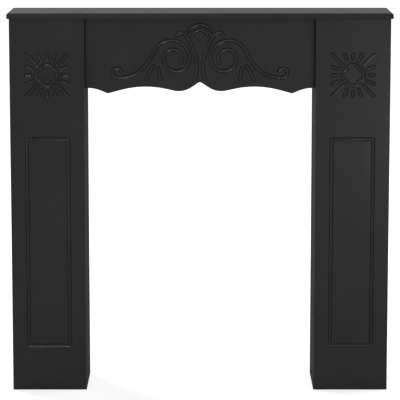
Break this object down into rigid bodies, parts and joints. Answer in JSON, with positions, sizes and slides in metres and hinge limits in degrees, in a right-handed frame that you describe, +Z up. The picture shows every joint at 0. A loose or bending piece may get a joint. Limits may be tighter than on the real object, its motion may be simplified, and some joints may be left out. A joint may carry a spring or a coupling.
{
  "type": "fireplace surround",
  "caption": "Free-standing fireplace surround with box legs, a plain mantel shelf and a scalloped frieze, its fronts cut with grooved scrolls, rosettes and panels.",
  "frame": {"origin": "middle of the footprint on the floor: centre of the overall box in X and Y, underside of the legs in Z", "axes": "+X across the hearth to the viewer's right, +Y back to the wall, +Z up; the carved fronts face -Y"},
  "size_m": [1, 0.2, 1],
  "materials": {
    "satin_black_paint": "satin black paint on fibreboard"
  },
  "bodies": {
    "root": {"mantel_shelf": "satin_black_paint", "frieze_panel": "satin_black_paint", "left_leg_front": "satin_black_paint", "left_leg_outer_side": "satin_black_paint", "left_leg_inner_side": "satin_black_paint", "right_leg_front": "satin_black_paint", "right_leg_outer_side": "satin_black_paint", "right_leg_inner_side": "satin_black_paint"}
  },
  "joints": []
}
